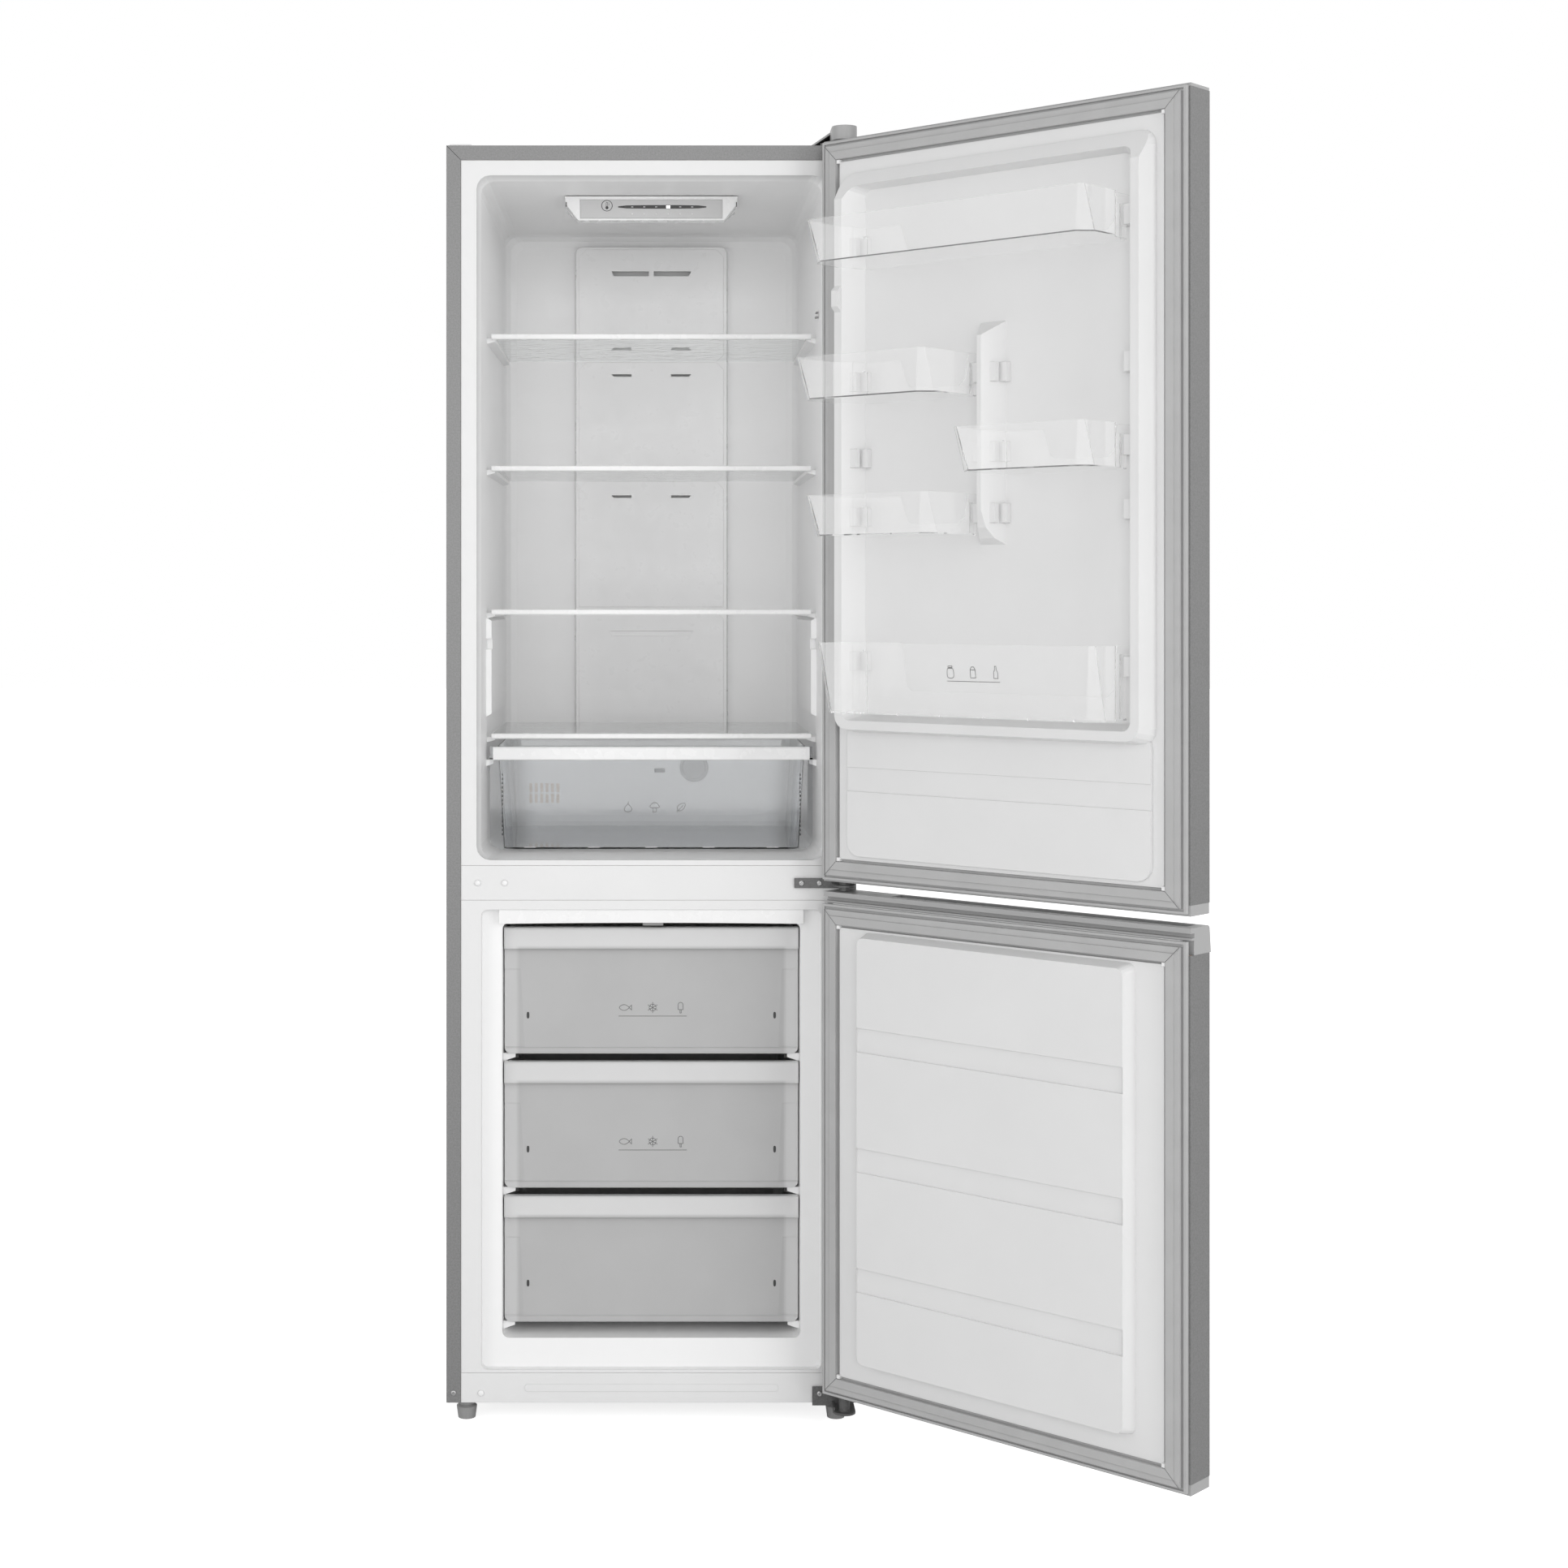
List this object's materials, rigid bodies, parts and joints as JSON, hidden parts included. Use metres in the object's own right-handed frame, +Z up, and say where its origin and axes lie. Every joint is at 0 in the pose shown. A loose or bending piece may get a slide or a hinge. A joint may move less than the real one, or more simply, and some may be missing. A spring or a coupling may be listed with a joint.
{
  "type": "bottom freezer refrigerator",
  "caption": "Tall free-standing refrigerator with a freezer below, both doors open, glass shelves, door bins, a crisper and pull-out freezer drawers.",
  "frame": {"origin": "on the floor, on the cabinet's centre line, in the plane of the cabinet's front edge that the door gaskets close against", "axes": "+X to the right seen from the front, where the hinges are; +Y back to the wall; +Z up"},
  "size_m": [1.0175, 1.0611, 1.8751],
  "materials": {
    "silver_steel": "fine textured silver grey paint",
    "panel_grey": "silver grey moulding",
    "liner_white": "smooth white moulding",
    "trim_white": "smooth white moulding",
    "foam": "rigid foam",
    "gasket_grey": "soft grey bellows",
    "clear_plastic": "clear moulding",
    "shelf_glass": "clear glass plate",
    "window_grey": "translucent display window",
    "hinge_steel": "dark grey paint",
    "zinc_steel": "zinc plated",
    "grey_plastic": "grey moulding",
    "dark_plastic": "dark moulding",
    "black_paint": "satin black paint",
    "copper": "copper tube",
    "fin_aluminium": "mill finish",
    "black_rubber": "soft black"
  },
  "bodies": {
    "cabinet": {"cabinet_shell": "silver_steel", "back_panel": "zinc_steel", "cabinet_foam": "foam", "fridge_liner": "liner_white", "freezer_liner": "liner_white", "mullion_cover": "liner_white", "base_plate": "zinc_steel", "kick_panel": "liner_white", "top_hinge": "hinge_steel", "top_hinge_cover": "panel_grey", "middle_hinge": "hinge_steel", "bottom_hinge": "hinge_steel", "cabinet_screws": "zinc_steel", "blanking_plugs": "grey_plastic", "control_housing": "trim_white", "control_window": "window_grey", "duct_cover": "trim_white", "freezer_top_trim": "trim_white", "evaporator_cover": "liner_white", "evaporator": "fin_aluminium", "fan_motor": "dark_plastic", "compressor": "black_paint", "compressor_mounts": "black_rubber", "refrigerant_pipes": "copper", "drip_tray": "dark_plastic", "machine_cover": "dark_plastic"},
    "upper_door": {"upper_door_skin": "silver_steel", "upper_door_foam": "foam", "upper_door_liner": "liner_white", "upper_door_gasket": "gasket_grey", "upper_door_caps": "panel_grey"},
    "lower_door": {"lower_door_skin": "silver_steel", "lower_door_foam": "foam", "lower_door_liner": "liner_white", "lower_door_gasket": "gasket_grey", "lower_door_handle": "panel_grey", "lower_door_caps": "panel_grey"},
    "fan": {"fan_blade": "dark_plastic"},
    "foot_left": {"front_foot_left": "grey_plastic"},
    "foot_right": {"front_foot_right": "grey_plastic"},
    "roller_left": {"rear_roller_left": "dark_plastic"},
    "roller_right": {"rear_roller_right": "dark_plastic"},
    "crisper": {"crisper_drawer": "clear_plastic", "crisper_handle": "trim_white"},
    "crisper_lid": {"crisper_cover": "shelf_glass", "crisper_cover_trim": "trim_white"},
    "shelf_upper": {"shelf_upper": "shelf_glass", "shelf_trim_upper": "trim_white"},
    "freezer_drawer_upper": {"freezer_drawer_upper": "clear_plastic"},
    "shelf_middle": {"shelf_middle": "shelf_glass", "shelf_trim_middle": "trim_white"},
    "freezer_drawer_middle": {"freezer_drawer_middle": "clear_plastic"},
    "shelf_lower": {"shelf_lower": "shelf_glass", "shelf_trim_lower": "trim_white"},
    "freezer_drawer_lower": {"freezer_drawer_lower": "clear_plastic"},
    "bin_top": {"bin_top": "clear_plastic"},
    "bin_left_upper": {"bin_left_upper": "clear_plastic"},
    "bin_right": {"bin_right": "clear_plastic"},
    "bin_left_lower": {"bin_left_lower": "clear_plastic"},
    "bin_bottle": {"bin_bottle": "clear_plastic"}
  },
  "joints": [
    {"name": "upper_door_hinge", "type": "hinge", "parent": "cabinet", "child": "upper_door", "pos_m": [0.2775, -0.034, 1.3], "axis": [0, 0, 1], "range_deg": [-137.4, 0]},
    {"name": "lower_door_hinge", "type": "hinge", "parent": "cabinet", "child": "lower_door", "pos_m": [0.2775, -0.034, 0.4], "axis": [0, 0, 1], "range_deg": [-137.4, 0]},
    {"name": "shelf_upper_slide", "type": "slide", "parent": "cabinet", "child": "shelf_upper", "axis": [0, -1, 0], "range_m": [0, 0.3]},
    {"name": "shelf_middle_slide", "type": "slide", "parent": "cabinet", "child": "shelf_middle", "axis": [0, -1, 0], "range_m": [0, 0.3]},
    {"name": "shelf_lower_slide", "type": "slide", "parent": "cabinet", "child": "shelf_lower", "axis": [0, -1, 0], "range_m": [0, 0.3]},
    {"name": "crisper_lid_slide", "type": "slide", "parent": "cabinet", "child": "crisper_lid", "axis": [0, -1, 0], "range_m": [0, 0.3]},
    {"name": "crisper_slide", "type": "slide", "parent": "cabinet", "child": "crisper", "axis": [0, -1, 0], "range_m": [0, 0.3]},
    {"name": "freezer_drawer_upper_slide", "type": "slide", "parent": "cabinet", "child": "freezer_drawer_upper", "axis": [0, -1, 0], "range_m": [0, 0.3]},
    {"name": "freezer_drawer_middle_slide", "type": "slide", "parent": "cabinet", "child": "freezer_drawer_middle", "axis": [0, -1, 0], "range_m": [0, 0.3]},
    {"name": "freezer_drawer_lower_slide", "type": "slide", "parent": "cabinet", "child": "freezer_drawer_lower", "axis": [0, -1, 0], "range_m": [0, 0.24]},
    {"name": "bin_top_lift", "type": "slide", "parent": "upper_door", "child": "bin_top", "axis": [0, 0, 1], "range_m": [0, 0.035]},
    {"name": "bin_left_upper_lift", "type": "slide", "parent": "upper_door", "child": "bin_left_upper", "axis": [0, 0, 1], "range_m": [0, 0.035]},
    {"name": "bin_right_lift", "type": "slide", "parent": "upper_door", "child": "bin_right", "axis": [0, 0, 1], "range_m": [0, 0.035]},
    {"name": "bin_left_lower_lift", "type": "slide", "parent": "upper_door", "child": "bin_left_lower", "axis": [0, 0, 1], "range_m": [0, 0.035]},
    {"name": "bin_bottle_lift", "type": "slide", "parent": "upper_door", "child": "bin_bottle", "axis": [0, 0, 1], "range_m": [0, 0.035]},
    {"name": "fan_spin", "type": "hinge", "parent": "cabinet", "child": "fan", "pos_m": [0, 0.449, 0.6285], "axis": [0, 1, 0], "continuous": true},
    {"name": "foot_left_turn", "type": "hinge", "parent": "cabinet", "child": "foot_left", "pos_m": [-0.27, 0.031, 0], "axis": [0, 0, 1], "continuous": true},
    {"name": "roller_left_spin", "type": "hinge", "parent": "cabinet", "child": "roller_left", "pos_m": [-0.2575, 0.545, 0.014], "axis": [1, 0, 0], "continuous": true},
    {"name": "foot_right_turn", "type": "hinge", "parent": "cabinet", "child": "foot_right", "pos_m": [0.27, 0.031, 0], "axis": [0, 0, 1], "continuous": true},
    {"name": "roller_right_spin", "type": "hinge", "parent": "cabinet", "child": "roller_right", "pos_m": [0.2575, 0.545, 0.014], "axis": [1, 0, 0], "continuous": true}
  ]
}
